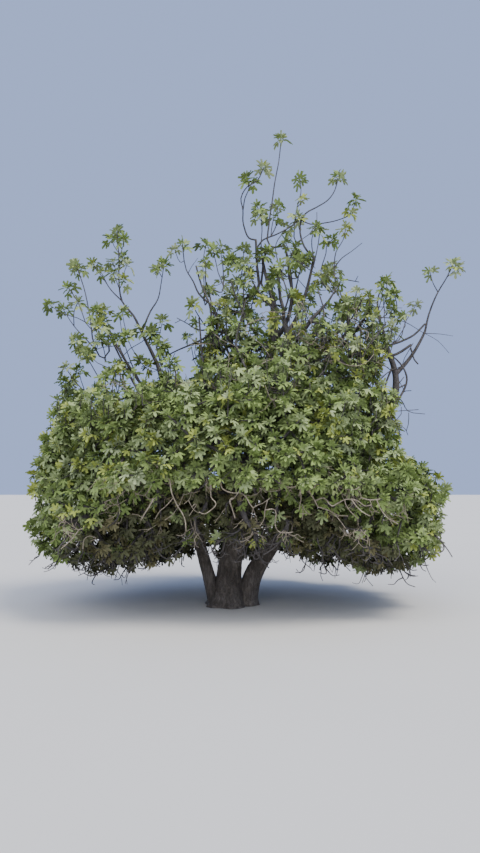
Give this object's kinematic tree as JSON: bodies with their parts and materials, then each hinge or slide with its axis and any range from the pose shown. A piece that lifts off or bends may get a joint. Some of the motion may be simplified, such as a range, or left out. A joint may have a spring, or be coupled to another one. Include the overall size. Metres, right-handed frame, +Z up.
{
  "type": "fig tree",
  "caption": "Whole fig tree: stems from one root under a wide leafy skirt and dome, with long upright shoots.",
  "frame": {"origin": "on the ground, on the flat cut under the trunk, near the middle of the three stems' common foot", "axes": "+Z up along the trunk, +X to the right and -Y towards the viewer in the picture"},
  "size_m": [5.5221, 4.6504, 6.27],
  "materials": {
    "bark": "smooth grey-brown bark, finely cracked",
    "bare_twigs": "dry pale grey-brown twigs without leaves",
    "foliage": "matt rough lobed leaves in several greens on grey-brown twigs"
  },
  "bodies": {
    "root": {"back_left_shoots": "foliage", "back_right_shoots": "foliage", "bough_back_left_shoots": "bark", "bough_back_right_shoots": "bark", "bough_crest_left_shoots": "bark", "bough_crest_right_shoots": "bark", "bough_dome_back": "bark", "bough_dome_front": "bark", "bough_dome_left": "bark", "bough_dome_right": "bark", "bough_leader_shoots": "bark", "bough_left_dead_twigs": "bark", "bough_left_low_shoots": "bark", "bough_left_outer_shoots": "bark", "bough_right_arm_shoots": "bark", "bough_shoulder_back_left": "bark", "bough_shoulder_back_right": "bark", "bough_shoulder_front_left": "bark", "bough_shoulder_front_right": "bark", "bough_skirt_back": "bark", "bough_skirt_back_left": "bark", "bough_skirt_front": "bark", "bough_skirt_front_left": "bark", "bough_skirt_front_right": "bark", "crest_left_shoots": "foliage", "crest_right_shoots": "foliage", "dome_back": "foliage", "dome_front": "foliage", "dome_left": "foliage", "dome_right": "foliage", "dome_top_shoots": "foliage", "leader_shoots": "foliage", "left_dead_twigs": "bare_twigs", "left_low_shoots": "foliage", "left_outer_shoots": "foliage", "left_tall_shoots": "foliage", "right_arm_shoots": "foliage", "right_dead_twigs": "bare_twigs", "right_high_shoots": "foliage", "shoulder_back_left": "foliage", "shoulder_back_right": "foliage", "shoulder_front_left": "foliage", "shoulder_front_right": "foliage", "shoulder_left": "foliage", "shoulder_right": "foliage", "skirt_back": "foliage", "skirt_back_left": "foliage", "skirt_back_right": "foliage", "skirt_front": "foliage", "skirt_front_left": "foliage", "skirt_front_right": "foliage", "skirt_left": "foliage", "skirt_right": "foliage", "stem_left": "bark", "stem_right": "bark", "trunk": "bark"}
  },
  "joints": []
}
